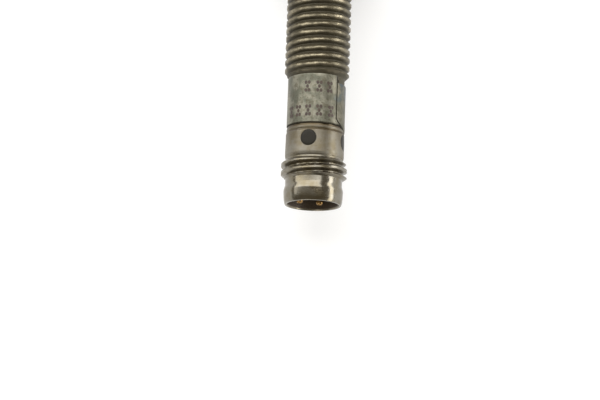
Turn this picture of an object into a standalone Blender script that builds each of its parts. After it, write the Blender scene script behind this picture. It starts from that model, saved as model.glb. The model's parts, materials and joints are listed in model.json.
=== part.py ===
"""An M8 inductive proximity sensor with an M8 plug connector, as an assembly of separate solids.

The sensor lies along Y. The origin is the centre of the sensing face, which looks along +Y, and the
connector's mouth looks along -Y. Z is up and X is to the right of someone who looks along +Y.
Lengths below are in millimetres and angles in degrees; MM turns them into Blender's metres.
"""

import math

import bmesh
import bpy
from mathutils import Matrix, Vector

MM = 0.001
WELD = 1e-7  # metres: points closer than this are one point
FIT_GAP = 0.05  # between two fixed pieces that touch

# Whole sensor
LENGTH = 66.0
THREAD_SEGMENTS = 20  # sides of every thread, one turn
TURNED_SEGMENTS = 40
SMALL_SEGMENTS = 24

# M8 x 1 right-hand thread
PITCH = 1.0
CREST_RADIUS = 3.97
ROOT_RADIUS = 3.45
CREST_HALF_WIDTH = 0.10
NUT_THREAD_CLEARANCE = 0.09  # radial, which is more than the facets' sagitta

# Stations along the sensor, as distances from the connector's rim
MOUTH_DEPTH = 4.7
CARRIER_END = 6.3
WINDOW_STATION = 7.62
SHELL_SHOULDER = 9.46
LABEL_START, LABEL_END = 9.60, 15.57
THREAD_START = 16.15
CONNECTOR_THREAD_START, CONNECTOR_THREAD_END = 3.10, 5.45
BARREL_THREAD_PHASE = 17.55  # station of a crest on the sensor's -X side
CONNECTOR_THREAD_PHASE = 4.78

# Radii
BORE_RADIUS = 3.05
LABEL_SEAT_RADIUS = 3.38
LABEL_RADIUS = 3.50
MOUTH_RADIUS = 3.0

# Label: turn of its seam from the top towards -X
SEAM_TURN = -45.7

# LED windows, a quarter turn apart, the first one this far round from the top towards -X
WINDOW_TURN = 13.3
WINDOW_RADIUS = 1.0
WINDOW_COUNT = 4

# Contacts: two at PAIR_HALF_SPACING each side of the board's normal, one opposite
CLOCKING = 19.8  # turn of the board and the contacts about the sensor's axis
PIN_RADIUS = 0.5
PIN_TIP_STATION = 0.4
PAIR_HALF_SPACING = 1.285
PAIR_DROP = 1.2

# Fixing nuts and washers
NUT_FLATS = 13.0
NUT_THICKNESS = 4.0
NUT_FRONT_Y = -24.0
WASHER_THICKNESS = 0.8
WASHER_BORE = 4.2
WASHER_TEETH = 12
BRACKET_GAP = 3.2

# Circuit board, in the frame that CLOCKING turns
BOARD_FRONT_Y = -3.2
BOARD_HALF_WIDTH = 2.3
BOARD_TONGUE_HALF_WIDTH = 1.3
BOARD_HALF_THICKNESS = 0.4


def from_rim(station):
    """The Y of a place given by its distance from the connector's rim."""
    return station - LENGTH


# ---------------------------------------------------------------- materials


def material(name, colour, roughness, metallic=0.0):
    made = bpy.data.materials.new(name)
    made.use_nodes = True
    shader = made.node_tree.nodes["Principled BSDF"]
    shader.inputs["Base Color"].default_value = (*colour, 1.0)
    shader.inputs["Roughness"].default_value = roughness
    shader.inputs["Metallic"].default_value = metallic
    return made


def make_materials():
    return {
        "barrel_steel": material("barrel_steel", (0.55, 0.53, 0.48), 0.35, 1.0),
        "nickel": material("nickel", (0.66, 0.62, 0.55), 0.2, 1.0),
        "nut_nickel": material("nut_nickel", (0.63, 0.61, 0.56), 0.3, 1.0),
        "gold": material("gold", (0.85, 0.62, 0.25), 0.2, 1.0),
        "copper": material("copper", (0.72, 0.36, 0.2), 0.35, 1.0),
        "label": material("label", (0.6, 0.6, 0.57), 0.5),
        "black_plastic": material("black_plastic", (0.02, 0.02, 0.022), 0.45),
        "cap_plastic": material("cap_plastic", (0.06, 0.06, 0.065), 0.5),
        "window": material("window", (0.09, 0.08, 0.08), 0.35),
        "light_guide": material("light_guide", (0.8, 0.78, 0.7), 0.25),
        "ferrite": material("ferrite", (0.06, 0.055, 0.06), 0.7),
        "white_plastic": material("white_plastic", (0.8, 0.78, 0.72), 0.5),
        "board": material("board", (0.05, 0.25, 0.1), 0.45),
        "component": material("component", (0.03, 0.03, 0.035), 0.5),
        "ceramic": material("ceramic", (0.55, 0.42, 0.3), 0.5),
        "led": material("led", (0.9, 0.75, 0.3), 0.3),
        "resin": material("resin", (0.35, 0.3, 0.2), 0.4),
        "sleeve": material("sleeve", (0.7, 0.55, 0.2), 0.4),
        "wire_brown": material("wire_brown", (0.2, 0.09, 0.04), 0.5),
        "wire_blue": material("wire_blue", (0.04, 0.12, 0.4), 0.5),
        "wire_black": material("wire_black", (0.02, 0.02, 0.02), 0.5),
    }


# ---------------------------------------------------------------- shape helpers


def finished(name, bm, finish, parent=None):
    """The object of a bmesh in millimetres."""
    bmesh.ops.scale(bm, vec=(MM, MM, MM), verts=bm.verts)
    bmesh.ops.remove_doubles(bm, verts=bm.verts, dist=WELD)
    bmesh.ops.recalc_face_normals(bm, faces=bm.faces)
    mesh = bpy.data.meshes.new(name)
    bm.to_mesh(mesh)
    bm.free()
    mesh.shade_smooth()
    mesh.set_sharp_from_angle(angle=math.radians(30))
    made = bpy.data.objects.new(name, mesh)
    made.data.materials.append(finish)
    made.parent = parent
    bpy.context.scene.collection.objects.link(made)
    return made


def helper(made):
    """Marks a cutter, which is not a piece of the sensor."""
    made.hide_render = True
    made.display_type = "WIRE"
    return made


def boolean(target, other, operation):
    modifier = target.modifiers.new(f"{operation.lower()}_{other.name}", "BOOLEAN")
    modifier.operation = operation
    modifier.solver = "EXACT"
    modifier.object = helper(other)


def turned(name, outline, finish, segments=TURNED_SEGMENTS, parent=None):
    """A lathe-turned solid: outline is (y, radius) points round the section. Points of radius 0 may
    only be its first and last ones."""
    bm = bmesh.new()
    points = [bm.verts.new((radius, y, 0)) for y, radius in outline]
    edges = [bm.edges.new(pair) for pair in zip(points, points[1:])]
    if outline[0][1] > 0:
        edges.append(bm.edges.new((points[-1], points[0])))
    bmesh.ops.spin(
        bm, geom=points + edges, cent=(0, 0, 0), axis=(0, 1, 0), angle=2 * math.pi, steps=segments
    )
    bmesh.ops.remove_doubles(bm, verts=bm.verts, dist=WELD / MM)
    return finished(name, bm, finish, parent)


def tube_outline(y_low, y_high, inner, outer, bevel=0.0):
    """The section of a plain ring, with a bevel on its outer edges."""
    if not bevel:
        return [(y_low, inner), (y_high, inner), (y_high, outer), (y_low, outer)]
    return [
        (y_low, inner),
        (y_high, inner),
        (y_high, outer - bevel),
        (y_high - bevel, outer),
        (y_low + bevel, outer),
        (y_low, outer - bevel),
    ]


def block(name, size, centre, finish, parent=None, bevel=0.0):
    bm = bmesh.new()
    bmesh.ops.create_cube(bm, size=1.0)
    bmesh.ops.scale(bm, vec=size, verts=bm.verts)
    if bevel:
        bmesh.ops.bevel(
            bm, geom=bm.edges[:], offset=bevel, segments=1, affect="EDGES", profile=0.5
        )
    bmesh.ops.translate(bm, vec=centre, verts=bm.verts)
    return finished(name, bm, finish, parent)


def rod_along_y(name, radius, y_low, y_high, x, z, finish, segments=SMALL_SEGMENTS, parent=None):
    bm = bmesh.new()
    bmesh.ops.create_cone(
        bm, cap_ends=True, segments=segments, radius1=radius, radius2=radius, depth=y_high - y_low
    )
    bmesh.ops.rotate(bm, matrix=Matrix.Rotation(math.radians(90), 3, "X"), verts=bm.verts)
    bmesh.ops.translate(bm, vec=(x, (y_low + y_high) / 2, z), verts=bm.verts)
    return finished(name, bm, finish, parent)


def thread_outline(first_crest_y, turns, crest, root):
    """(y, radius) points of a thread's section, from one crest to the one that is turns further."""
    points = []
    for turn in range(turns + 1):
        middle = first_crest_y + turn * PITCH
        points += [
            (middle - CREST_HALF_WIDTH, crest),
            (middle + CREST_HALF_WIDTH, crest),
            (middle + PITCH / 2, root),
        ]
    return points[:-1]


def helical_rod(name, outline, finish):
    """A solid swept by turning a section once about the axis while it rises by one pitch. The section
    starts on the -X side and goes over the top. The ends close in a fan to the axis, and a thread that
    starts or stops within the rod does so at a wall on the -X side."""
    bm = bmesh.new()
    points = [bm.verts.new((-radius, y, 0)) for y, radius in outline]
    edges = [bm.edges.new(pair) for pair in zip(points, points[1:])]
    bmesh.ops.spin(
        bm,
        geom=points + edges,
        cent=(0, 0, 0),
        axis=(0, 1, 0),
        dvec=(0, PITCH / THREAD_SEGMENTS, 0),
        angle=2 * math.pi,
        steps=THREAD_SEGMENTS,
    )
    bmesh.ops.remove_doubles(bm, verts=bm.verts, dist=0.001)
    low, high = outline[0][0], outline[-1][0] + PITCH
    low_ring, walls, high_ring = [], [], []
    for edge in [edge for edge in bm.edges if edge.is_boundary]:
        heights = [vert.co.y for vert in edge.verts]
        if max(heights) < low + PITCH + 0.001:
            low_ring.append(edge)
        elif min(heights) > high - PITCH - 0.001:
            high_ring.append(edge)
        else:
            walls.append(edge)
    for ring, tip_y in ((low_ring, low - PITCH), (high_ring, high + PITCH)):
        tip = bm.verts.new((0, tip_y, 0))
        for edge in ring:
            bm.faces.new((edge.verts[0], edge.verts[1], tip))
    bmesh.ops.holes_fill(bm, edges=walls, sides=0)
    return finished(name, bm, finish)


def wire(name, points, radius, finish, parent=None):
    """A round wire on a smooth curve through points."""
    smooth = []
    ends = [points[0]] + points + [points[-1]]
    for a, b, c, d in zip(ends, ends[1:], ends[2:], ends[3:]):
        a, b, c, d = (Vector(p) for p in (a, b, c, d))
        for step in range(4):
            t = step / 4
            smooth.append(
                0.5
                * (
                    2 * b
                    + (c - a) * t
                    + (2 * a - 5 * b + 4 * c - d) * t**2
                    + (3 * b - a - 3 * c + d) * t**3
                )
            )
    smooth.append(Vector(points[-1]))
    curve = bpy.data.curves.new(name, "CURVE")
    curve.dimensions = "3D"
    curve.bevel_depth = radius * MM
    curve.bevel_resolution = 2
    curve.use_fill_caps = True
    spline = curve.splines.new("POLY")
    spline.points.add(len(smooth) - 1)
    for place, point in zip(spline.points, smooth):
        place.co = (*(point * MM), 1.0)
    curve.materials.append(finish)
    made = bpy.data.objects.new(name, curve)
    made.parent = parent
    bpy.context.scene.collection.objects.link(made)
    return made


# ---------------------------------------------------------------- housing


def make_barrel(finish):
    """The tube, threaded from the sensing face to the seat of the label at its rear end."""
    rear_y = from_rim(SHELL_SHOULDER + FIT_GAP)
    thread_y = from_rim(THREAD_START)
    turns_before = 10
    first_crest_y = from_rim(BARREL_THREAD_PHASE) - turns_before * PITCH
    turns = math.ceil(-first_crest_y / PITCH) + 2
    thread = thread_outline(first_crest_y, turns, CREST_RADIUS, ROOT_RADIUS)
    barrel = helical_rod("barrel", thread, finish)
    envelope = turned(
        "barrel_envelope",
        [
            (rear_y, BORE_RADIUS),
            (0.0, BORE_RADIUS),
            (0.0, CREST_RADIUS - 0.5),
            (-0.75, CREST_RADIUS + 0.25),
            (thread_y + 0.3, CREST_RADIUS + 0.25),
            (thread_y - 0.5, LABEL_SEAT_RADIUS),
            (rear_y, LABEL_SEAT_RADIUS),
        ],
        finish,
    )
    boolean(barrel, envelope, "INTERSECT")
    return barrel


def shell_outline():
    """Section of the connector shell: mouth, nose, neck, thread, groove, LED ring and spigot."""
    outside = [
        (0.0, 3.34),
        (0.10, 3.44),
        (0.35, 3.52),
        (0.65, 3.55),
        (1.55, 3.60),
        (1.75, 3.59),
        (2.20, 3.45),
        (CONNECTOR_THREAD_START, 3.45),
        (CONNECTOR_THREAD_START + 0.5, CREST_RADIUS),
        (CONNECTOR_THREAD_END - 0.45, CREST_RADIUS),
        (CONNECTOR_THREAD_END + 0.1, 3.41),
        (6.02, 3.41),
        (6.20, 3.52),
        (6.55, 3.57),
        (8.30, 3.54),
        (8.55, 3.50),
        (8.65, 3.46),
        (SHELL_SHOULDER, 3.46),
        (SHELL_SHOULDER, BORE_RADIUS - FIT_GAP),
        (12.2, BORE_RADIUS - FIT_GAP),
        (12.4, BORE_RADIUS - 0.2),
    ]
    inside = [
        (12.4, 2.6),
        (8.95, 2.6),
        (8.95, MOUTH_RADIUS),
        (0.12, MOUTH_RADIUS),
        (0.0, MOUTH_RADIUS + 0.08),
    ]
    return [(from_rim(station), radius) for station, radius in outside + inside]


def round_the_axis(turn, distance):
    """(x, z) at this distance from the axis, turned from the top towards -X."""
    angle = math.radians(turn)
    return -distance * math.sin(angle), distance * math.cos(angle)


def radial_rod(name, turn, station, radius, inner, outer, finish):
    """A round rod that stands out from the axis."""
    bm = bmesh.new()
    bmesh.ops.create_cone(
        bm,
        cap_ends=True,
        segments=SMALL_SEGMENTS,
        radius1=radius,
        radius2=radius,
        depth=outer - inner,
    )
    bmesh.ops.translate(bm, vec=(0, 0, (inner + outer) / 2), verts=bm.verts)
    spin = Matrix.Rotation(-math.radians(turn), 3, "Y")
    bmesh.ops.rotate(bm, matrix=spin, verts=bm.verts)
    bmesh.ops.translate(bm, vec=(0, from_rim(station), 0), verts=bm.verts)
    return finished(name, bm, finish)


def window_turns():
    return [WINDOW_TURN + index * 360 / WINDOW_COUNT for index in range(WINDOW_COUNT)]


def make_shell(finish):
    """The connector shell, with its thread and the four holes for the LED windows."""
    bulk = CREST_RADIUS + 0.15
    thread_y = from_rim(CONNECTOR_THREAD_PHASE) - 2 * PITCH
    turns = 2
    thread = thread_outline(thread_y, turns, CREST_RADIUS, ROOT_RADIUS)
    turns_before, turns_after, gap = 6, 10, 0.45
    before = [(thread_y - step * PITCH - gap, bulk) for step in reversed(range(turns_before))]
    after = [(thread_y + (turns + step) * PITCH + gap, bulk) for step in range(turns_after)]
    shell = helical_rod("connector_shell", before + thread + after, finish)
    boolean(shell, turned("shell_envelope", shell_outline(), finish), "INTERSECT")
    for index, turn in enumerate(window_turns()):
        cutter = radial_rod(
            f"window_cutter_{index + 1}", turn, WINDOW_STATION, WINDOW_RADIUS, 2.5, 4.5, finish
        )
        boolean(shell, cutter, "DIFFERENCE")
    return shell


def make_windows(finish):
    """Smoked lenses that fill the shell's four holes, curved with its face."""
    inner, outer = MOUTH_RADIUS + FIT_GAP, 3.54
    for index, turn in enumerate(window_turns()):
        name = f"led_window_{index + 1}"
        lens = radial_rod(name, turn, WINDOW_STATION, WINDOW_RADIUS - 0.03, 2.5, 4.5, finish)
        reach = WINDOW_RADIUS + 0.5
        ring = turned(
            f"lens_envelope_{index + 1}",
            tube_outline(
                from_rim(WINDOW_STATION - reach), from_rim(WINDOW_STATION + reach), inner, outer
            ),
            finish,
        )
        boolean(lens, ring, "INTERSECT")


def make_label(finish):
    """Film wrapped round the barrel's seat. Its ends meet in a seam."""
    gap = 1.2
    columns = TURNED_SEGMENTS
    bm = bmesh.new()
    grid = []
    for radius in (LABEL_SEAT_RADIUS + 0.03, LABEL_RADIUS):
        for station in (LABEL_START, LABEL_END):
            line = []
            for index in range(columns + 1):
                turn = SEAM_TURN + gap / 2 + (360 - gap) * index / columns
                x, z = round_the_axis(turn, radius)
                line.append(bm.verts.new((x, from_rim(station), z)))
            grid.append(line)
    inner_low, inner_high, outer_low, outer_high = grid
    for a, b in (
        (inner_low, inner_high),
        (inner_high, outer_high),
        (outer_high, outer_low),
        (outer_low, inner_low),
    ):
        for index in range(columns):
            bm.faces.new((a[index], a[index + 1], b[index + 1], b[index]))
    for end in (0, -1):
        bm.faces.new((inner_low[end], inner_high[end], outer_high[end], outer_low[end]))
    return finished("label_film", bm, finish)


# ---------------------------------------------------------------- connector insert


def pin_places():
    """(name, x, z) of the contacts, before the clocking turn: a pair below and one above."""
    circle = math.hypot(PAIR_HALF_SPACING, PAIR_DROP)
    return [
        ("contact_pin_1", -PAIR_HALF_SPACING, -PAIR_DROP),
        ("contact_pin_3", PAIR_HALF_SPACING, -PAIR_DROP),
        ("contact_pin_4", 0.0, circle),
    ]


def make_pins(finish, frame):
    """Contacts with rounded tips, a collar that the carrier grips, and a thinner solder tail."""
    for name, x, z in pin_places():
        arc = [
            (PIN_TIP_STATION + PIN_RADIUS * (1 - math.cos(a)) * 0.8, PIN_RADIUS * math.sin(a))
            for a in (math.radians(degrees) for degrees in (0, 25, 45, 65, 90))
        ]
        outline = arc + [(6.4, PIN_RADIUS), (6.4, 0.3), (6.95, 0.3), (6.95, 0.0)]
        pin = turned(
            name,
            [(from_rim(station), radius) for station, radius in outline],
            finish,
            segments=16,
            parent=frame,
        )
        pin.location = (x * MM, 0, z * MM)


def drill(target, frame, places, radius, y_low, y_high, finish):
    """Cuts a hole for each (name, x, z), in the turned frame."""
    for name, x, z in places:
        cutter = rod_along_y(
            f"{target.name}_hole_{name}", radius, y_low, y_high, x, z, finish, 16, frame
        )
        boolean(target, cutter, "DIFFERENCE")


def make_carrier(finish, frame):
    """The insulating disc that holds the contacts at the bottom of the mouth."""
    outer = MOUTH_RADIUS - FIT_GAP
    y_low, y_high = from_rim(MOUTH_DEPTH), from_rim(CARRIER_END)
    carrier = turned(
        "contact_carrier",
        [(y_low, 0), (y_low, outer - 0.15), (y_low + 0.15, outer), (y_high, outer), (y_high, 0)],
        finish,
        parent=frame,
    )
    drill(carrier, frame, pin_places(), PIN_RADIUS + 0.04, y_low - 1, y_high + 1, finish)


def make_seal(finish, frame):
    """Cast resin behind the carrier, round the contacts' tails."""
    y_low, y_high = from_rim(CARRIER_END + FIT_GAP), from_rim(CARRIER_END + 0.45)
    seal = turned(
        "rear_seal_resin",
        [(y_low, 0), (y_low, 2.95), (y_high, 2.95), (y_high, 0)],
        finish,
        parent=frame,
    )
    drill(seal, frame, pin_places(), PIN_RADIUS + 0.04, y_low - 1, y_high + 1, finish)


def make_light_guide(finish):
    """Clear ring inside the shell that spreads the light to the four windows."""
    turned(
        "light_guide",
        tube_outline(from_rim(6.85), from_rim(8.85), 2.4, MOUTH_RADIUS - FIT_GAP),
        finish,
        SMALL_SEGMENTS,
    )


# ---------------------------------------------------------------- sensing head


def make_head(finishes):
    """Cap, shield, pot core, bobbin and winding behind the sensing face, and the board's holder."""
    outer = BORE_RADIUS - FIT_GAP
    cap_end, wall, front = -5.6, 0.32, 0.5
    turned(
        "sensing_cap",
        [
            (0.0, 0.0),
            (0.0, outer - 0.12),
            (-0.12, outer),
            (cap_end, outer),
            (cap_end, outer - wall),
            (-front, outer - wall),
            (-front, 0.0),
        ],
        finishes["cap_plastic"],
    )
    turned("shield_ring", tube_outline(-3.2, -0.55, 2.48, 2.63), finishes["copper"], SMALL_SEGMENTS)
    core = turned(
        "ferrite_core",
        [
            (-0.56, 0.35),
            (-0.56, 0.9),
            (-2.1, 0.9),
            (-2.1, 2.05),
            (-0.56, 2.05),
            (-0.56, 2.43),
            (-2.8, 2.43),
            (-2.8, 0.35),
        ],
        finishes["ferrite"],
        SMALL_SEGMENTS,
    )
    turned(
        "coil_bobbin",
        [
            (-0.62, 0.95),
            (-0.62, 2.0),
            (-0.74, 2.0),
            (-0.74, 1.08),
            (-1.9, 1.08),
            (-1.9, 2.0),
            (-2.04, 2.0),
            (-2.04, 0.95),
        ],
        finishes["white_plastic"],
        SMALL_SEGMENTS,
    )
    turned(
        "coil_winding",
        tube_outline(-1.87, -0.77, 1.11, 1.92, 0.12),
        finishes["copper"],
        SMALL_SEGMENTS,
    )
    return core


def make_holder(finish, frame):
    """Plastic plug behind the core. The board's front tongue and the coil's leads sit in its slot."""
    y_high, y_low = -2.86, -5.3
    holder = turned(
        "board_holder",
        [(y_low, 0), (y_low, 2.43), (y_high, 2.43), (y_high, 0)],
        finish,
        SMALL_SEGMENTS,
        frame,
    )
    slot = block("holder_slot", (3.1, 6.0, 1.9), (0, -4.0, 0), finish, frame)
    boolean(holder, slot, "DIFFERENCE")


def make_coil_leads(finish, frame, core, core_finish):
    """Two wires from the winding's back, through the core, to the board."""
    places = [("left", -1.25, 0.62), ("right", 1.25, 0.62)]
    drill(core, frame, places, 0.2, -4.0, -1.5, core_finish)
    for name, x, z in places:
        rod_along_y(f"coil_lead_{name}", 0.1, -4.6, -2.1, x, z, finish, 8, frame)


# ---------------------------------------------------------------- electronics


def make_board(finish, frame):
    """The long board: a narrow front tongue, the full width, and a rear tongue between the contacts."""
    rear_y = from_rim(7.15)
    shoulder_y = from_rim(12.9)
    bm = bmesh.new()
    half = [
        (1.4, BOARD_FRONT_Y),
        (1.4, -6.0),
        (BOARD_HALF_WIDTH, -6.6),
        (BOARD_HALF_WIDTH, shoulder_y),
        (BOARD_TONGUE_HALF_WIDTH, shoulder_y - 0.6),
        (BOARD_TONGUE_HALF_WIDTH, rear_y),
    ]
    outline = half + [(-x, y) for x, y in reversed(half)]
    face = bm.faces.new(
        [bm.verts.new((x, y, -BOARD_HALF_THICKNESS)) for x, y in outline]
    )
    raised = bmesh.ops.extrude_face_region(bm, geom=[face])
    bmesh.ops.translate(
        bm,
        vec=(0, 0, 2 * BOARD_HALF_THICKNESS),
        verts=[item for item in raised["geom"] if isinstance(item, bmesh.types.BMVert)],
    )
    finished("circuit_board", bm, finish, frame)


def place_component(name, size, x, y, side, finish, frame, bevel=0.08):
    """A part on the board. side is 1 for the top face and -1 for the underside."""
    z = side * (BOARD_HALF_THICKNESS + 0.04 + size[2] / 2)
    return block(name, size, (x, y, z), finish, frame, bevel)


def make_components(finishes, frame):
    dark, ceramic, led = finishes["component"], finishes["ceramic"], finishes["led"]
    led_y = from_rim(WINDOW_STATION)
    for name, size, x, y, side, finish in (
        ("tuning_capacitor", (1.6, 3.2, 1.1), 0.0, -9.6, 1, ceramic),
        ("oscillator_ic", (3.0, 3.0, 1.0), 0.0, -14.4, 1, dark),
        ("threshold_resistor", (1.2, 2.0, 0.55), -1.2, -18.6, 1, dark),
        ("hysteresis_resistor", (1.2, 2.0, 0.55), 1.2, -18.6, 1, dark),
        ("output_transistor", (2.5, 4.4, 1.4), 0.0, -23.6, 1, dark),
        ("base_resistor", (1.2, 2.0, 0.55), 0.0, -28.4, 1, dark),
        ("supply_capacitor", (1.7, 3.3, 1.5), 0.0, -32.6, 1, ceramic),
        ("protection_diode", (1.7, 3.4, 1.1), 0.0, -38.2, 1, dark),
        ("filter_capacitor", (1.2, 2.0, 1.1), 0.0, -12.0, -1, ceramic),
        ("voltage_regulator", (2.0, 2.9, 1.1), 0.0, -20.0, -1, dark),
        ("surge_suppressor", (1.7, 3.4, 1.2), 0.0, -43.0, -1, dark),
        ("led_resistor", (1.2, 2.0, 0.55), 0.0, -47.4, -1, dark),
        ("led_chip_upper", (1.6, 0.8, 0.5), 0.0, led_y, 1, led),
        ("led_chip_lower", (1.6, 0.8, 0.5), 0.0, led_y, -1, led),
    ):
        place_component(name, size, x, y, side, finish, frame)


def make_wires(finishes, frame):
    """Insulated wires from the contacts' tails to the board's pads."""
    start_y = from_rim(7.0)
    radius = 0.3
    top = BOARD_HALF_THICKNESS + radius + 0.03
    for name, finish, (_, x, z), pad_x in (
        ("supply_wire_brown", finishes["wire_brown"], pin_places()[0], -1.3),
        ("ground_wire_blue", finishes["wire_blue"], pin_places()[1], 1.3),
        ("signal_wire_black", finishes["wire_black"], pin_places()[2], 0.0),
    ):
        side = 1 if z > 0 else -1
        wire(
            name,
            [
                (x, start_y, z),
                (x, start_y + 1.4, z),
                ((x + pad_x) / 2, start_y + 3.6, (z + side * top) / 2),
                (pad_x, start_y + 6.0, side * top),
                (pad_x, start_y + 8.6, side * top),
            ],
            radius,
            finish,
            frame,
        )


# ---------------------------------------------------------------- fixing hardware


def make_nut(name, front_y, finish):
    """Hexagon nut cut by the barrel's own thread, a little larger, so that the two stay in mesh."""
    rear_y = front_y - NUT_THICKNESS
    middle = (front_y + rear_y) / 2
    corner = NUT_FLATS / 2 / math.cos(math.radians(30))
    bm = bmesh.new()
    bmesh.ops.create_cone(
        bm, cap_ends=True, segments=6, radius1=corner, radius2=corner, depth=NUT_THICKNESS
    )
    bmesh.ops.rotate(bm, matrix=Matrix.Rotation(math.radians(90), 3, "X"), verts=bm.verts)
    flat_down = Matrix.Rotation(math.radians(30), 3, "Y")
    bmesh.ops.rotate(bm, matrix=flat_down, verts=bm.verts)
    bmesh.ops.translate(bm, vec=(0, middle, 0), verts=bm.verts)
    nut = finished(name, bm, finish)
    drop, ease = 0.45, 0.85
    crown = turned(
        f"{name}_crown",
        [
            (rear_y - 1, 0),
            (rear_y - 1, corner - ease - 1.5),
            (rear_y, corner - ease),
            (rear_y + drop, corner + 0.05),
            (front_y - drop, corner + 0.05),
            (front_y, corner - ease),
            (front_y + 1, corner - ease - 1.5),
            (front_y + 1, 0),
        ],
        finish,
    )
    boolean(nut, crown, "INTERSECT")
    crest_y = from_rim(BARREL_THREAD_PHASE)
    cutter = helical_rod(
        f"{name}_tap",
        thread_outline(
            crest_y + math.floor((rear_y - crest_y) / PITCH - 2) * PITCH,
            math.ceil(NUT_THICKNESS) + 4,
            CREST_RADIUS + NUT_THREAD_CLEARANCE,
            ROOT_RADIUS + NUT_THREAD_CLEARANCE,
        ),
        finish,
    )
    boolean(nut, cutter, "DIFFERENCE")
    mouth, depth = CREST_RADIUS + 0.35, 0.6
    countersink = turned(
        f"{name}_countersink",
        [
            (rear_y - 1, 0),
            (rear_y - 1, mouth),
            (rear_y, mouth),
            (rear_y + depth, ROOT_RADIUS),
            (front_y - depth, ROOT_RADIUS),
            (front_y, mouth),
            (front_y + 1, mouth),
            (front_y + 1, 0),
        ],
        finish,
        SMALL_SEGMENTS,
    )
    boolean(nut, countersink, "DIFFERENCE")
    return nut


def make_washer(name, front_y, finish):
    """Toothed lock washer, its teeth pressed flat."""
    tip, gullet = 6.3, 5.35
    shares = ((-0.5, gullet), (-0.28, gullet), (-0.2, tip), (0.2, tip), (0.28, gullet))
    outer, inner = [], []
    bm = bmesh.new()
    for tooth in range(WASHER_TEETH):
        for share, radius in shares:
            angle = 2 * math.pi * (tooth + share) / WASHER_TEETH
            direction = Vector((math.cos(angle), 0, math.sin(angle)))
            outer.append(bm.verts.new(direction * radius))
            inner.append(bm.verts.new(direction * WASHER_BORE))
    count = len(outer)
    faces = [
        bm.faces.new((outer[i], outer[(i + 1) % count], inner[(i + 1) % count], inner[i]))
        for i in range(count)
    ]
    raised = bmesh.ops.extrude_face_region(bm, geom=faces)
    bmesh.ops.translate(
        bm,
        vec=(0, WASHER_THICKNESS, 0),
        verts=[item for item in raised["geom"] if isinstance(item, bmesh.types.BMVert)],
    )
    bmesh.ops.translate(bm, vec=(0, front_y - WASHER_THICKNESS, 0), verts=bm.verts)
    return finished(name, bm, finish)


def make_fixings(finish):
    """Nut, washer, room for a bracket, washer, nut, from front to rear."""
    front_washer_y = NUT_FRONT_Y - NUT_THICKNESS - FIT_GAP
    rear_washer_y = front_washer_y - WASHER_THICKNESS - BRACKET_GAP
    rear_nut_y = rear_washer_y - WASHER_THICKNESS - FIT_GAP
    make_nut("front_nut", NUT_FRONT_Y, finish)
    make_washer("front_washer", front_washer_y, finish)
    make_washer("rear_washer", rear_washer_y, finish)
    make_nut("rear_nut", rear_nut_y, finish)


# ---------------------------------------------------------------- assembly


def main():
    for old in list(bpy.data.objects):
        bpy.data.objects.remove(old)
    finishes = make_materials()
    frame = bpy.data.objects.new("board_frame", None)
    frame.rotation_euler = (0, math.radians(CLOCKING), 0)
    bpy.context.scene.collection.objects.link(frame)

    make_barrel(finishes["barrel_steel"])
    make_shell(finishes["nickel"])
    make_windows(finishes["window"])
    make_label(finishes["label"])
    make_pins(finishes["gold"], frame)
    make_carrier(finishes["black_plastic"], frame)
    make_seal(finishes["resin"], frame)
    make_light_guide(finishes["light_guide"])
    core = make_head(finishes)
    make_holder(finishes["white_plastic"], frame)
    make_coil_leads(finishes["copper"], frame, core, finishes["ferrite"])
    make_board(finishes["board"], frame)
    make_components(finishes, frame)
    make_wires(finishes, frame)
    turned(
        "insulating_sleeve",
        tube_outline(-52.8, -6.2, 2.82, 2.97),
        finishes["sleeve"],
        SMALL_SEGMENTS,
    )
    make_fixings(finishes["nut_nickel"])


main()
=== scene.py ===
"""The looks of an M8 inductive proximity sensor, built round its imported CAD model.

The sensor lies along Y with its sensing face at the origin and its connector's mouth towards -Y.
Shapes are worked out in millimetres, and MM turns them into the frame's metres. A place along the
sensor is often given as a station, its distance from the connector's rim.
"""

import json
import math

import bmesh
import bpy
import numpy as np
from mathutils import Matrix, Vector


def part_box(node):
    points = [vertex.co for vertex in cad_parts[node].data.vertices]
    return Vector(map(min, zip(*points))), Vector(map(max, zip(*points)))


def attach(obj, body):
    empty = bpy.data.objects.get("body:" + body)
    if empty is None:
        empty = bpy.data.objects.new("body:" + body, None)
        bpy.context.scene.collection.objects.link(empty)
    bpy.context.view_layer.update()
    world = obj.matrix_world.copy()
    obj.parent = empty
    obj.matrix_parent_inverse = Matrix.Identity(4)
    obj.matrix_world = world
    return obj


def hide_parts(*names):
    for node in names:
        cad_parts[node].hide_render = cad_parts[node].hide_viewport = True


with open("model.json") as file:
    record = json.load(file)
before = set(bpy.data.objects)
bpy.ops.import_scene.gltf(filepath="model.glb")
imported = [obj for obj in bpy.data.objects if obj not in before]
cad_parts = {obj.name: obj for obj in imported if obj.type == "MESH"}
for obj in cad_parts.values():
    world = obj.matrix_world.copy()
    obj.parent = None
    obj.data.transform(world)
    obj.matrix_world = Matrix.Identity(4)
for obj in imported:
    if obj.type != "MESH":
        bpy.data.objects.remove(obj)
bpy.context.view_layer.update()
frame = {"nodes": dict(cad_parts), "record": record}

MM = 0.001
WELD = 1e-3  # millimetres: points closer than this are one point


def box_mm(node):
    low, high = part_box(node)
    return low / MM, high / MM


BARREL_LOW, BARREL_HIGH = box_mm("barrel")
LABEL_LOW, LABEL_HIGH = box_mm("label_film")
CARRIER_LOW, CARRIER_HIGH = box_mm("contact_carrier")
CARRIER_FACE_Y = CARRIER_LOW.y + 0.1
RIM_Y = box_mm("connector_shell")[0].y
SHELL_SHOULDER = BARREL_LOW.y - RIM_Y - 0.05  # the station where the shell meets the barrel
FLOOR_Z = box_mm("front_nut")[0].z

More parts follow.
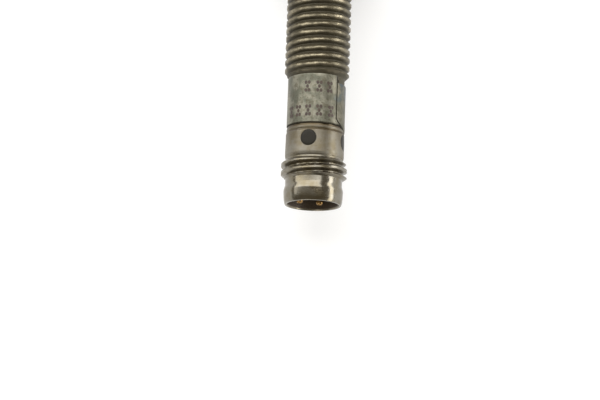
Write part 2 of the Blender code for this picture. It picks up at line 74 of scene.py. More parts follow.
# M8 x 1 right-hand thread
PITCH = 1.0
CREST_RADIUS = BARREL_HIGH.z
ROOT_RADIUS = 3.5
CREST_HALF_WIDTH = 0.14
ROOT_HALF_WIDTH = 0.06
BARREL_CREST_Y = RIM_Y + 17.55
SHELL_CREST_Y = RIM_Y + 4.78
BORE_RADIUS = 3.05
SEAT_RADIUS = 3.38
NECK_RADIUS = 3.455
SHELL_CREST_RADIUS = CREST_RADIUS + 0.04
SHELL_ROOT_RADIUS = 3.44
SHELL_THREAD_LOW, SHELL_THREAD_HIGH = 2.95, 5.5
GROOVE_RADIUS = 3.45

# LED ring's plain stretch, and its windows
RING_LOW, RING_HIGH = 6.5, 8.6
RING_LOW_RADIUS, RING_HIGH_RADIUS = 3.572, 3.54
RING_MEAN_RADIUS = 3.56
POCKET_DEPTH = 0.35
WINDOW_STATION = 7.62
WINDOW_TURN = 13.3  # of the first one, from the top towards -X
WINDOW_RADIUS = 0.98
WINDOW_COUNT = 4

# Label: its seam's turn from the top towards -X, where the seam bends, and how far its tab reaches
SEAM_TURN = -45.7
SEAM_BEND_STATION = 10.4
TAB_STATION = 8.95
SHELL_STEP = 0.075  # how far the shell's edge stands above the label's seat


def from_rim(station):
    return RIM_Y + station


# ---------------------------------------------------------------- node helpers


class Shader:
    """A material's node tree, with short calls for the nodes that these finishes need."""

    def __init__(self, name, colour, roughness, metallic=0.0, **settings):
        self.material = bpy.data.materials.new(name)
        self.material.use_nodes = True
        self.tree = self.material.node_tree
        self.shader = self.tree.nodes["Principled BSDF"]
        self.shader.inputs["Base Color"].default_value = (*colour, 1)
        self.shader.inputs["Roughness"].default_value = roughness
        self.shader.inputs["Metallic"].default_value = metallic
        for key, value in settings.items():
            self.shader.inputs[key.replace("_", " ")].default_value = value
        self.coordinates = self.add("ShaderNodeTexCoord").outputs["Object"]

    def add(self, kind, **settings):
        node = self.tree.nodes.new(kind)
        for key, value in settings.items():
            setattr(node, key, value)
        return node

    def link(self, source, socket):
        self.tree.links.new(source, socket)

    def feed(self, socket, value):
        """Links value to socket if it is a socket itself, and sets it otherwise."""
        if isinstance(value, bpy.types.NodeSocket):
            self.link(value, socket)
        elif isinstance(value, tuple) and socket.type == "RGBA" and len(value) == 3:
            socket.default_value = (*value, 1)
        else:
            socket.default_value = value

    def stretched(self, scale):
        """The object's coordinates, multiplied by scale."""
        node = self.add("ShaderNodeMapping")
        self.link(self.coordinates, node.inputs["Vector"])
        node.inputs["Scale"].default_value = scale
        return node.outputs["Vector"]

    def noise(self, per_mm, detail, vector=None):
        """Noise with features about 1 / per_mm millimetres across."""
        node = self.add("ShaderNodeTexNoise")
        self.link(vector or self.coordinates, node.inputs["Vector"])
        node.inputs["Scale"].default_value = per_mm / MM
        node.inputs["Detail"].default_value = detail
        node.inputs["Roughness"].default_value = 0.55
        return node.outputs["Fac"]

    def math(self, operation, a, b=0.0, clamp=False):
        node = self.add("ShaderNodeMath", operation=operation, use_clamp=clamp)
        self.feed(node.inputs[0], a)
        self.feed(node.inputs[1], b)
        return node.outputs[0]

    def ranged(self, value, low, high, to_low=0.0, to_high=1.0):
        """value mapped from low..high to to_low..to_high, smoothly and clamped."""
        node = self.add("ShaderNodeMapRange", interpolation_type="SMOOTHSTEP")
        self.feed(node.inputs["Value"], value)
        node.inputs["From Min"].default_value = low
        node.inputs["From Max"].default_value = high
        node.inputs["To Min"].default_value = to_low
        node.inputs["To Max"].default_value = to_high
        return node.outputs["Result"]

    def mixed(self, share, a, b, blend="MIX"):
        """Colour a turned into b by share."""
        node = self.add("ShaderNodeMix", data_type="RGBA", blend_type=blend)
        self.feed(node.inputs["Factor"], share)
        self.feed(node.inputs["A"], a)
        self.feed(node.inputs["B"], b)
        return node.outputs["Result"]

    def within(self, value, rise, fall, share=1.0):
        """share where value is past rise and short of fall, and 0 elsewhere. Both are (low, high)
        ranges that value eases through."""
        return self.math("MULTIPLY", self.ranged(value, *rise), self.ranged(value, *fall, share, 0.0))

    def place(self, axis):
        """One of the object's coordinates, in millimetres."""
        split = self.add("ShaderNodeSeparateXYZ")
        self.link(self.coordinates, split.inputs[0])
        return self.math("DIVIDE", split.outputs[axis], MM)

    def radius(self):
        """Distance from the sensor's axis, in millimetres."""
        across, up = self.place("X"), self.place("Z")
        square = self.math(
            "ADD", self.math("MULTIPLY", across, across), self.math("MULTIPLY", up, up)
        )
        return self.math("SQRT", square)

    def station(self):
        """Distance from the connector's rim, in millimetres."""
        return self.math("SUBTRACT", self.place("Y"), RIM_Y)

    def bump(self, height, strength, distance_mm):
        node = self.add("ShaderNodeBump")
        node.inputs["Strength"].default_value = strength
        node.inputs["Distance"].default_value = distance_mm * MM
        self.link(height, node.inputs["Height"])
        self.link(node.outputs["Normal"], self.shader.inputs["Normal"])

    def set(self, socket, value):
        self.feed(self.shader.inputs[socket], value)


# ---------------------------------------------------------------- materials


def threaded_steel(name, colour, grime_and_shade_colour, grime_and_shade_reach, roughness, age):
    """Turned steel whose thread roots are darkened by soiling and painted shade, and which is darker
    in a band at the thread's end next to the label. The darkening thins out over the radii of the
    reach it is given, and age, from 0 to 1, is how much the rest is speckled."""
    made = Shader(name, colour, roughness, 1.0)
    blotches = made.noise(0.8, 5.0)
    grain = made.noise(9.0, 3.0)
    lathe_lines = made.noise(14.0, 2.0, made.stretched((0.12, 1.0, 0.12)))
    spread = made.math("MULTIPLY", made.math("SUBTRACT", blotches, 0.5), -0.9)
    reach = made.math("ADD", made.radius(), spread)
    low, high = grime_and_shade_reach
    # soiling and painted shade: darker towards the thread's roots
    grime_and_shade = made.ranged(reach, low, high, 0.95, 0.0)
    speckle = made.ranged(made.noise(3.0, 5.0), 0.54, 0.7)
    grime_and_shade = made.math("MAXIMUM", grime_and_shade, made.math("MULTIPLY", speckle, 0.6 * age))
    # a darker band at the thread's end next to the label
    grime_and_shade = made.math("MAXIMUM", grime_and_shade, made.ranged(made.station(), 16.2, 16.6, 0.62, 0.0))
    darker = tuple(c * (1 - 0.38 * age) for c in colour)
    tone = made.mixed(made.ranged(blotches, 0.35, 0.65), colour, darker)
    made.set("Base Color", made.mixed(grime_and_shade, tone, grime_and_shade_colour))
    made.set("Metallic", made.ranged(grime_and_shade, 0.0, 1.0, 1.0, 0.4))
    rough = made.ranged(grain, 0.3, 0.7, roughness - 0.07, roughness + 0.1)
    made.set("Roughness", made.math("ADD", rough, made.math("MULTIPLY", grime_and_shade, 0.25), clamp=True))
    height = made.math("ADD", lathe_lines, made.math("MULTIPLY", grain, 0.9))
    made.bump(height, 0.5, 0.025)
    return made.material


def plated_nickel(name, colour, tarnish):
    """Warm, turned nickel plating: bright on the plug, satin on the LED ring and darker towards its
    rear end by painted shade, dull and dark brown in the bore from soiling and painted shade, and
    grimy with painted shade in the thread's roots and in the groove behind the ring, the groove more
    so towards +X, and grimy in the joint behind the ring."""
    made = Shader(name, colour, 0.3, 1.0)
    station, radius = made.station(), made.radius()
    rings = made.noise(16.0, 2.0, made.stretched((0.02, 1.0, 0.02)))
    cloud = made.noise(0.8, 5.0)
    marks = made.ranged(made.noise(3.0, 4.0), 0.6, 0.76)
    satin = made.within(station, (5.4, 5.55), (9.28, 9.36))
    threaded = made.within(station, (2.9, 3.15), (5.35, 5.5))
    # the groove behind the ring: soiling and painted shade
    groove = made.within(station, (8.56, 8.66), (8.84, 8.94))
    joint = made.within(station, (9.14, 9.24), (9.5, 9.6), 0.85)
    bore = made.ranged(radius, 3.02, 3.12, 1.0, 0.0)
    # painted shade: the groove darker towards +X
    groove = made.math("MULTIPLY", groove, made.ranged(made.place("X"), -1.6, 1.2, 0.4, 0.85))
    # soiling and painted shade in the thread's roots and the groove; the joint is a dark joint
    grime_and_shade = made.math("MULTIPLY", threaded, made.ranged(radius, 3.5, 3.8, 0.2, 0.0))
    grime_and_shade = made.math("MAXIMUM", grime_and_shade, made.math("MAXIMUM", groove, joint))
    tone = made.mixed(made.ranged(cloud, 0.35, 0.68), colour, tarnish)
    # painted shade: the LED ring darker towards its rear end, by the barrel
    ring_painted_shade = made.math("MULTIPLY", satin, made.ranged(station, 6.3, 8.8, 0.0, 0.45))
    tone = made.mixed(ring_painted_shade, tone, (0.1, 0.084, 0.056))
    tone = made.mixed(made.math("MULTIPLY", marks, 0.45), tone, (0.1, 0.078, 0.045))
    tone = made.mixed(grime_and_shade, tone, (0.06, 0.043, 0.022))
    # the bore's dark brown: soiling and painted shade
    made.set("Base Color", made.mixed(bore, tone, (0.05, 0.033, 0.018)))
    made.set("Metallic", made.math("SUBTRACT", 1.0, made.math("MULTIPLY", bore, 0.7)))
    rough = made.ranged(rings, 0.3, 0.7, 0.16, 0.25)
    rough = made.math("ADD", rough, made.math("MULTIPLY", satin, 0.24))
    rough = made.math("ADD", rough, made.math("MULTIPLY", threaded, 0.1))
    rough = made.math("ADD", rough, made.math("MULTIPLY", bore, 0.35))
    made.set("Roughness", made.math("ADD", rough, made.math("MULTIPLY", marks, 0.15), clamp=True))
    made.bump(rings, 0.2, 0.005)
    return made.material


def label_film_finish():
    """Silver-grey film with a fine grain, rubbed, streaked and stained brown, with a bluish, oily
    patch beyond the seam."""
    colour = (0.222, 0.214, 0.168)
    made = Shader("label_film", colour, 0.4, 0.85)
    cloud = made.noise(0.7, 5.0)
    grain = made.noise(18.0, 2.0)
    rubbed = made.ranged(made.noise(1.9, 6.0), 0.5, 0.66)
    stained = made.ranged(made.noise(5.0, 4.0), 0.57, 0.7)
    streaks = made.ranged(made.noise(5.0, 3.0, made.stretched((1.0, 0.12, 1.0))), 0.52, 0.7)
    tone = made.mixed(made.ranged(cloud, 0.38, 0.62), colour, (0.112, 0.113, 0.086))
    tone = made.mixed(made.math("MULTIPLY", streaks, 0.3), tone, (0.085, 0.075, 0.052))
    tone = made.mixed(made.math("MULTIPLY", rubbed, 0.5), tone, (0.078, 0.066, 0.04))
    tone = made.mixed(made.math("MULTIPLY", stained, 0.65), tone, (0.04, 0.03, 0.017))
    across, station = made.place("X"), made.station()
    # painted shade: the film darker towards +X
    tone = made.mixed(made.ranged(across, 0.6, 2.8, 0.0, 0.42), tone, (0.072, 0.063, 0.042))
    uneven = made.math("MULTIPLY", made.math("SUBTRACT", cloud, 0.5), 4.0)
    oily = made.math(
        "MULTIPLY",
        made.ranged(made.math("ADD", station, uneven), 12.0, 13.4),
        made.ranged(made.math("ADD", across, uneven), 2.5, 3.6, 0.0, 0.65),
    )
    made.set("Base Color", made.mixed(oily, tone, (0.06, 0.09, 0.115)))
    made.set("Roughness", made.ranged(grain, 0.3, 0.7, 0.36, 0.5))
    made.bump(made.math("ADD", grain, cloud), 0.3, 0.016)
    return made.material


def worn_print():
    """Dark brown ink, rubbed thin in places so that the film shows through."""
    ink, thin = (0.036, 0.02, 0.015), (0.11, 0.085, 0.065)
    made = Shader("label_print", ink, 0.5)
    worn = made.ranged(made.noise(3.5, 4.0), 0.42, 0.68)
    made.set("Base Color", made.mixed(made.math("MULTIPLY", worn, 0.6), ink, thin))
    made.set("Metallic", made.math("MULTIPLY", worn, 0.5))
    made.set("Roughness", made.ranged(made.noise(14.0, 2.0), 0.3, 0.7, 0.42, 0.6))
    return made.material


def plain_finish(name, colour, roughness, metallic=0.0, grain=8.0, depth=0.01, **settings):
    """A moulded, cast or bare surface: its colour and gloss vary a little, and it has a fine grain."""
    made = Shader(name, colour, roughness, metallic, **settings)
    fine = made.noise(grain, 3.0)
    cloud = made.noise(grain / 12, 3.0)
    darker = tuple(c * 0.72 for c in colour)
    made.set("Base Color", made.mixed(made.ranged(cloud, 0.35, 0.68), colour, darker))
    made.set("Roughness", made.ranged(fine, 0.3, 0.7, roughness * 0.85, min(1.0, roughness * 1.2)))
    made.bump(fine, 0.3, depth)
    return made.material


def winding_finish():
    """Enamelled copper wire, drawn as fine parallel turns, with painted shade between the turns and
    painted highlight along their tops.
    """
    made = Shader("winding", (0.62, 0.27, 0.13), 0.3, 1.0)
    wave = made.add("ShaderNodeTexWave", wave_type="BANDS", bands_direction="Y")
    made.link(made.coordinates, wave.inputs["Vector"])
    wave.inputs["Scale"].default_value = 3.2 / MM
    wave.inputs["Distortion"].default_value = 0.3
    turns = wave.outputs["Fac"]
    # painted shade: darker copper between the turns; painted highlight: lighter along their tops
    made.set("Base Color", made.mixed(turns, (0.35, 0.13, 0.06), (0.75, 0.36, 0.18)))
    made.bump(turns, 0.8, 0.04)
    return made.material


def board_finish():
    """Solder resist over glass cloth, with a faint weave and copper tracks under it."""
    made = Shader("board", (0.03, 0.16, 0.07), 0.35)
    tracks = made.add("ShaderNodeTexBrick")
    made.link(made.stretched((1.0, 1.0, 0.0)), tracks.inputs["Vector"])
    tracks.inputs["Scale"].default_value = 0.45 / MM
    tracks.inputs["Mortar Size"].default_value = 0.03
    made.set("Base Color", made.mixed(tracks.outputs["Fac"], (0.03, 0.16, 0.07), (0.08, 0.27, 0.12)))
    weave = made.noise(6.0, 2.0)
    made.set("Roughness", made.ranged(weave, 0.3, 0.7, 0.28, 0.45))
    made.bump(made.math("ADD", weave, tracks.outputs["Fac"]), 0.3, 0.02)
    return made.material


def make_materials():
    steel, nickel = (0.25, 0.219, 0.153), (0.21, 0.195, 0.161)
    return {
        "barrel_steel": threaded_steel(
            "barrel_steel", steel, (0.05, 0.042, 0.022), (3.62, 4.04), 0.3, 1.0
        ),
        "nut_nickel": threaded_steel(
            "nut_nickel", (0.34, 0.315, 0.26), (0.07, 0.058, 0.038), (3.3, 3.95), 0.26, 0.35
        ),
        "nickel": plated_nickel("nickel", nickel, (0.165, 0.142, 0.096)),
        "gold": plain_finish("gold", (0.25, 0.148, 0.055), 0.28, 1.0, 6.0),
        "label": label_film_finish(),
        "print": worn_print(),
        # the seam's dark strip: old glue and painted shade
        "seam_glue_and_shade": plain_finish(
            "seam_glue_and_shade", (0.022, 0.016, 0.009), 0.6, 0.0, 9.0, 0.02, Specular_IOR_Level=0.2
        ),
        "window": plain_finish(
            "window", (0.017, 0.015, 0.01), 0.42, 0.0, 9.0, Specular_IOR_Level=0.18
        ),
        "black_plastic": plain_finish("black_plastic", (0.035, 0.027, 0.018), 0.45),
        "cap_plastic": plain_finish("cap_plastic", (0.05, 0.05, 0.055), 0.48, 0.0, 10.0, 0.02),
        "light_guide": plain_finish("light_guide", (0.75, 0.73, 0.66), 0.18),
        "ferrite": plain_finish("ferrite", (0.05, 0.045, 0.05), 0.65, 0.0, 7.0, 0.03),
        "white_plastic": plain_finish("white_plastic", (0.74, 0.72, 0.66), 0.45),
        "component": plain_finish("component", (0.022, 0.022, 0.025), 0.5, 0.0, 9.0, 0.015),
        "ceramic": plain_finish("ceramic", (0.48, 0.34, 0.22), 0.42, 0.0, 8.0, 0.015),
        "led": plain_finish("led", (0.85, 0.68, 0.22), 0.2),
        "resin": plain_finish("resin", (0.3, 0.24, 0.15), 0.28, 0.0, 5.0, 0.02),
        "sleeve": plain_finish("sleeve", (0.62, 0.44, 0.14), 0.35, 0.0, 5.0),
        "copper": winding_finish(),
        "board": board_finish(),
        "wire_brown": plain_finish("wire_brown", (0.16, 0.065, 0.03), 0.4),
        "wire_blue": plain_finish("wire_blue", (0.03, 0.09, 0.33), 0.4),
        "wire_black": plain_finish("wire_black", (0.018, 0.018, 0.02), 0.4),
    }


# ---------------------------------------------------------------- surface helpers


def ring(columns, start, y, radius):
    """Points round the axis, from the angle start on. The angle runs from -X over the top to +X.
    y and radius are numbers, or arrays with one value for each column."""
    angle = start + 2 * np.pi * np.arange(columns) / columns
    y = np.broadcast_to(y, angle.shape)
    return np.column_stack([-np.cos(angle) * radius, y, np.sin(angle) * radius])


def quads(index, after):
    """Quads between rows of point numbers. after holds the next point's number in the same row."""
    return np.stack([index[:-1], after[:-1], after[1:], index[1:]], -1)


class Skin:
    """One piece's surface, put together from grids that meet at equal points."""

    def __init__(self):
        self.points = []
        self.faces = []
        self.count = 0

    def add(self, points, faces):
        self.points.append(np.asarray(points, float).reshape(-1, 3))
        self.faces += (np.asarray(faces) + self.count).tolist()
        self.count += len(self.points[-1])

    def grid(self, rows, closed=True):
        """Faces between rows of points, which close on themselves or don't."""
        rows = np.asarray(rows, float)
        height, width = rows.shape[:2]
        index = np.arange(height * width).reshape(height, width)
        after = np.roll(index, -1, axis=1)
        if not closed:
            index, after = index[:, :-1], after[:, :-1]
        self.add(rows, quads(index, after).reshape(-1, 4))

    def turned(self, outline, columns, start=0.0):
        """Rings through an outline of (y, radius) points."""
        self.grid([ring(columns, start, y, radius) for y, radius in outline])

    def helix(self, low, high, crest_y, profile, envelope, columns, inward=False, wear=0.0):
        """A thread from y = low to y = high, on a grid that follows the helix. profile has (height,
        radius) points over one pitch, and envelope(y) is the radius that cuts it, from outside or,
        on an inward thread, from inside. At both ends the envelope passes the whole thread."""
        first = math.floor(low - crest_y) - 2
        turns = math.ceil(high - crest_y) + 2 - first
        heights, radii = np.array(profile).T
        angle = 2 * np.pi * np.arange(columns) / columns
        rise = angle / (2 * np.pi) * PITCH
        y = crest_y + (first + np.arange(turns))[:, None] * PITCH + heights[None, :] * PITCH
        y = np.clip(y.reshape(-1, 1) + rise[None, :], low, high)
        cut = np.vectorize(envelope)(y)
        radius = np.tile(radii, turns)[:, None]
        radius = np.maximum(radius, cut) if inward else np.minimum(radius, cut)
        if wear:
            radius = radius - wear * worn(angle[None, :], y) * (radius - radii.min()) / np.ptp(radii)
        rows = np.stack([ring(columns, 0.0, y[i], radius[i]) for i in range(len(y))])
        height, width = rows.shape[:2]
        index = np.arange(height * width).reshape(height, width)
        after = np.roll(index, -1, axis=1)
        steps = len(profile)
        after[:-steps, -1] = index[steps:, 0]
        self.add(rows, quads(index, after)[: height - steps - 1].reshape(-1, 4))

    def piece(self, name, finish, body, replaced, sharp=38):
        """The surface as an object that rides on body and stands for the CAD nodes in replaced."""
        bm = bmesh.new()
        points = np.concatenate(self.points) * MM
        verts = [bm.verts.new(point) for point in points.tolist()]
        for face in self.faces:
            bm.faces.new([verts[index] for index in face])
        bmesh.ops.remove_doubles(bm, verts=bm.verts, dist=WELD * MM)
        bmesh.ops.dissolve_degenerate(bm, edges=bm.edges, dist=WELD * MM / 10)
        loose = [vert for vert in bm.verts if not vert.link_faces]
        bmesh.ops.delete(bm, geom=loose, context="VERTS")
        bmesh.ops.recalc_face_normals(bm, faces=bm.faces)
        return as_piece(name, bm, finish, body, replaced, sharp)


def as_piece(name, bm, finish, body, replaced, sharp=38):
    mesh = bpy.data.meshes.new(name)
    bm.to_mesh(mesh)
    bm.free()
    mesh.shade_smooth()
    mesh.set_sharp_from_angle(angle=math.radians(sharp))
    mesh.materials.append(finish)
    made = bpy.data.objects.new(name, mesh)
    bpy.context.scene.collection.objects.link(made)
    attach(made, body)
    if replaced:
        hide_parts(*replaced)
    return made


def rounded(corners, steps=4):
    """(y, radius) points through (y, radius, fillet) corners, each eased over its fillet's length."""
    points = []
    for index, (y, radius, fillet) in enumerate(corners):
        here = Vector((y, radius))
        if not fillet or index in (0, len(corners) - 1):
            points.append((y, radius))
            continue
        ends = []
        for other in (corners[index - 1], corners[index + 1]):
            side = Vector(other[:2]) - here
            ends.append(here + side.normalized() * min(fillet, side.length / 2))
        for step in range(steps + 1):
            t = step / steps
            point = ends[0] * (1 - t) ** 2 + here * 2 * t * (1 - t) + ends[1] * t**2
            points.append((point.x, point.y))
    return points


def worn(angle, y):
    """How worn a place on the outside is, from 0 to 1, in an uneven pattern that never repeats."""
    wave = (
        np.sin(3 * angle + 2.3 * y)
        + np.sin(5 * angle - 3.7 * y + 1.3)
        + np.sin(8 * angle + 5.9 * y + 0.4)
        + np.sin(13 * angle - 1.1 * y + 2.2)
        + np.sin(21 * angle + 9.1 * y)
    )
    return np.clip(0.35 + wave / 4, 0, 1)


def ramp(value, low, high):
    """0 below low and 1 above high, with an eased step between them."""
    t = min(1.0, max(0.0, (value - low) / (high - low)))
    return t * t * (3 - 2 * t)


def through(points, value):
    """The value of a broken line through (place, value) points."""
    places, values = zip(*points)
    return float(np.interp(value, places, values))


def thread_share(distance):
    """The thread's height this far from a crest, from 0 to 1. distance is in pitches. Its flanks
    curve a little, and its crest is slightly hollow in the middle."""
    flank = 0.5 - CREST_HALF_WIDTH - ROOT_HALF_WIDTH
    t = min(1.0, max(0.0, (0.5 - ROOT_HALF_WIDTH - abs(distance)) / flank))
    hollow = 0.06 * max(0.0, 1 - (distance / CREST_HALF_WIDTH) ** 2)
    return 0.75 * t + 0.25 * t * t * (3 - 2 * t) - hollow


def thread_profile(crest, root, steps):
    """(height, radius) points over one pitch, from a crest to just before the next, both as shares
    of the pitch."""
    heights = [step / steps for step in range(steps)]
    return [
        (height, root + (crest - root) * thread_share(min(height, 1 - height)))
        for height in heights
    ]


# ---------------------------------------------------------------- housing


def make_barrel(finish):
    low, high = BARREL_LOW.y, BARREL_HIGH.y
    columns = 108
    start_y = from_rim(15.62)
    chamfer = [
        (low, SEAT_RADIUS),
        (start_y, SEAT_RADIUS),
        (start_y + 0.55, CREST_RADIUS + 0.02),
        (high - 0.6, CREST_RADIUS + 0.02),
        (high, SEAT_RADIUS),
    ]
    skin = Skin()
    skin.helix(
        low,
        high,
        BARREL_CREST_Y,
        thread_profile(CREST_RADIUS, ROOT_RADIUS, 16),
        lambda y: through(chamfer, y),
        columns,
        wear=0.05,
    )
    skin.turned(
        [
            (high, SEAT_RADIUS),
            (high, BORE_RADIUS + 0.05),
            (high - 0.05, BORE_RADIUS),
            (low, BORE_RADIUS),
            (low, SEAT_RADIUS),
        ],
        columns,
    )
    return skin.piece("barrel_housing", finish, "sensor", ["barrel"])


def shell_radius(y, angle):
    """Radius of the shell's outside in its threaded stretch."""
    station = y - RIM_Y
    turns = (y - SHELL_CREST_Y) / PITCH - angle / (2 * math.pi)
    share = thread_share(turns - round(turns))
    thread = SHELL_ROOT_RADIUS + (SHELL_CREST_RADIUS - SHELL_ROOT_RADIUS) * share
    run_in = [(3.05, NECK_RADIUS), (3.45, SHELL_CREST_RADIUS)]
    run_out = [(4.95, SHELL_CREST_RADIUS), (5.36, GROOVE_RADIUS)]
    return min(thread, through(run_in + run_out, station))


def make_shell(finish):
    """Connector shell: nose, neck, short thread, groove, LED ring with four pockets, and spigot."""
    columns = 192
    start = math.radians(90 - WINDOW_TURN)
    angles = start + 2 * np.pi * np.arange(columns) / columns
    bore, mouth_end, spigot_end = 3.0, 0.28, 12.4
    nose = rounded(
        [
            (mouth_end, bore, 0),
            (0.0, 3.16, 0.02),
            (0.0, 3.4, 0.04),
            (0.3, 3.51, 0.2),
            (0.65, 3.555, 0.2),
            (1.62, 3.61, 0.12),
            (1.8, 3.585, 0.08),
            (2.2, 3.475, 0.1),
            (2.34, NECK_RADIUS, 0.06),
            (SHELL_THREAD_LOW, NECK_RADIUS, 0),
        ]
    )
    skin = Skin()
    skin.turned([(from_rim(s), r) for s, r in nose], columns, start)
    rows = []
    for station in np.linspace(SHELL_THREAD_LOW, SHELL_THREAD_HIGH, 69):
        y = from_rim(station)
        radius = np.array([shell_radius(y, angle) for angle in angles])
        rows.append(ring(columns, start, y, radius))
    skin.grid(rows)
    front = [
        (SHELL_THREAD_HIGH, GROOVE_RADIUS, 0),
        (5.54, GROOVE_RADIUS, 0.02),
        (5.68, 3.53, 0.05),
        (5.95, 3.573, 0.08),
        (RING_LOW, RING_LOW_RADIUS, 0),
    ]
    skin.turned([(from_rim(s), r) for s, r in rounded(front)], columns, start)
    window_band(skin, columns, start)
    rear = [
        (RING_HIGH, RING_HIGH_RADIUS, 0),
        (8.64, 3.53, 0.02),
        (8.7, 3.44, 0.03),
        (8.84, 3.43, 0.03),
        (8.92, 3.475, 0.03),
        (9.14, 3.48, 0.04),
        (SHELL_SHOULDER - 0.06, 3.42, 0.04),
        (SHELL_SHOULDER, 3.36, 0),
        (SHELL_SHOULDER, 3.0, 0),
        (spigot_end - 0.2, 3.0, 0.05),
        (spigot_end, 2.9, 0),
        (spigot_end, 2.6, 0),
        (8.95, 2.6, 0),
        (8.95, bore, 0),
        (mouth_end, bore, 0),
    ]
    skin.turned([(from_rim(s), r) for s, r in rounded(rear)], columns, start)
    return skin.piece("connector_housing", finish, "sensor", ["connector_shell"], 32)


def ring_radius(station):
    """Radius of the LED ring, which narrows a little towards the barrel."""
    return through([(RING_LOW, RING_LOW_RADIUS), (RING_HIGH, RING_HIGH_RADIUS)], station)


def on_ring(across, station, angle, lift=0.0):
    """The point of the LED ring at this distance round from angle, in millimetres, and station."""
    turn = angle + across / RING_MEAN_RADIUS
    reach = ring_radius(station) + lift
    return (-math.cos(turn) * reach, from_rim(station), math.sin(turn) * reach)


def window_band(skin, columns, start):
    """The LED ring's plain stretch, each window's pocket set in a square of its grid."""
    step = 2 * math.pi / columns
    width = step * RING_MEAN_RADIUS  # of one column
    half = 10  # of a square's width, in columns
    stations = np.linspace(RING_LOW, RING_HIGH, 19)
    spacing = columns // WINDOW_COUNT
    for window in range(WINDOW_COUNT):
        centre = start + window * spacing * step
        plain = [
            [on_ring((half + k) * width, s, centre) for k in range(spacing - 2 * half + 1)]
            for s in stations
        ]
        skin.grid(plain, closed=False)
        across = [k * width for k in range(-half, half + 1)]
        border = [(a, stations[0]) for a in across]
        border += [(across[-1], s) for s in stations[1:]]
        border += [(a, stations[-1]) for a in reversed(across[:-1])]
        border += [(across[0], s) for s in reversed(stations[1:-1])]
        loops = [[on_ring(a, s, centre) for a, s in border]]
        for share, radius, lift in (
            (0.5, WINDOW_RADIUS + 0.03, 0.0),
            (1.0, WINDOW_RADIUS + 0.03, 0.0),
            (1.0, WINDOW_RADIUS, -0.03),
            (1.0, WINDOW_RADIUS, -POCKET_DEPTH),
            (1.0, WINDOW_RADIUS * 0.5, -POCKET_DEPTH),
            (1.0, 0.0, -POCKET_DEPTH),
        ):
            loop = []
            for a, s in border:
                angle = math.atan2(s - WINDOW_STATION, a)
                x, y = radius * math.cos(angle), radius * math.sin(angle) + WINDOW_STATION
                x, y = a + (x - a) * share, s + (y - s) * share
                loop.append(on_ring(x, y, centre, lift))
            loops.append(loop)
        skin.grid(loops)


def make_windows(finish):
    """Smoked lenses, slightly domed, each in its pocket of the LED ring."""
    lens_radius, underside = WINDOW_RADIUS - 0.015, 0.02 - POCKET_DEPTH
    for index in range(WINDOW_COUNT):
        centre = math.radians(90 - WINDOW_TURN + index * 360 / WINDOW_COUNT)
        loops = []
        for share, lift in (
            (0.0, 0.012),
            (0.35, 0.011),
            (0.7, 0.006),
            (0.92, -0.002),
            (1.0, -0.02),
            (1.0, underside),
            (0.0, underside),
        ):
            loop = []
            for step in range(48):
                turn = 2 * math.pi * step / 48
                x = lens_radius * share * math.cos(turn)
                y = WINDOW_STATION + lens_radius * share * math.sin(turn)
                loop.append(on_ring(x, y, centre, lift))
            loops.append(loop)
        skin = Skin()
        skin.grid(loops)
        # Going up in angle here is going against the turn that the CAD's windows are numbered by.
        node = f"led_window_{(WINDOW_COUNT - index) % WINDOW_COUNT + 1}"
        skin.piece(f"{node}_lens", finish, "sensor", [node])


# ---------------------------------------------------------------- label


def on_label(turn, station, radius):
    """The point at this turn from the top towards -X, in degrees."""
    angle = math.radians(turn)
    return (-math.sin(angle) * radius, from_rim(station), math.cos(angle) * radius)


def seam_turn(station):
    """The seam runs straight, then swings round to the right as it nears the connector."""
    swing = max(0.0, SEAM_BEND_STATION - station) / (SEAM_BEND_STATION - TAB_STATION)
    return SEAM_TURN - 38.0 * swing**1.7


def seam_gap(station):
    """The seam's width in degrees, which opens towards the connector."""
    return 2.6 + 3.0 * ramp(station, SEAM_BEND_STATION, SEAM_BEND_STATION - 0.6)


def over_shell(station):
    """1 where the film lies on the connector shell's edge, and 0 where it lies on its own seat."""
    joint = LABEL_LOW.y - RIM_Y
    return 1 - ramp(station, joint - 0.15, joint + 0.15)


def make_label(finish):
    """Film wrapped round its seat. Its ends leave a narrow seam, and beyond the seam a tab of it
    reaches down over the connector shell's edge; the corner above the tab is torn."""
    outer = LABEL_HIGH.z
    low, high = LABEL_LOW.y - RIM_Y, LABEL_HIGH.y - RIM_Y
    tear_depth, lift = 0.85, 0.06
    columns, rows = 200, 66

    def edges(share):
        """Lowest and highest station at this share of the way round from the seam."""
        turn = share * 360
        tab = 1 - ramp(turn, 22, 44)
        torn = 1 - ramp(turn, 60, 84)
        return low + (TAB_STATION - low) * tab, high - tear_depth * torn

    def film(level):
        """Rows of points. level is 0 inside and 1 outside."""
        made = []
        for row in range(rows + 1):
            line = []
            for column in range(columns + 1):
                share = column / columns
                bottom, top = edges(share)
                station = bottom + (top - bottom) * row / rows
                raised = over_shell(station)
                inside = SEAT_RADIUS + 0.03 + SHELL_STEP * raised
                loose = lift * ramp(share, 0.0, 0.05) * (1 - ramp(share, 0.2, 0.4))
                radius = inside + loose + (outer + 0.018 * raised - inside) * level
                gap = seam_gap(station)
                first = seam_turn(station) - gap / 2
                last = seam_turn(station) + gap / 2 - 360
                line.append(on_label(first + (last - first) * share, station, radius))
            made.append(line)
        return made

    inner, shoulder, face = film(0.0), film(0.8), film(1.0)
    skin = Skin()
    skin.grid(inner, closed=False)
    skin.grid([row[1:-1] for row in face[1:-1]], closed=False)
    border = [(r, 0) for r in range(rows + 1)] + [(rows, c) for c in range(1, columns + 1)]
    border += [(r, columns) for r in reversed(range(rows))]
    border += [(0, c) for c in reversed(range(1, columns))]

    def inward(r, c):
        return min(max(r, 1), rows - 1), min(max(c, 1), columns - 1)

    loops = [
        [inner[r][c] for r, c in border],
        [shoulder[r][c] for r, c in border],
        [face[inward(r, c)[0]][inward(r, c)[1]] for r, c in border],
    ]
    skin.grid(loops)
    return skin.piece("label_wrap", finish, "sensor", ["label_film"], 30)


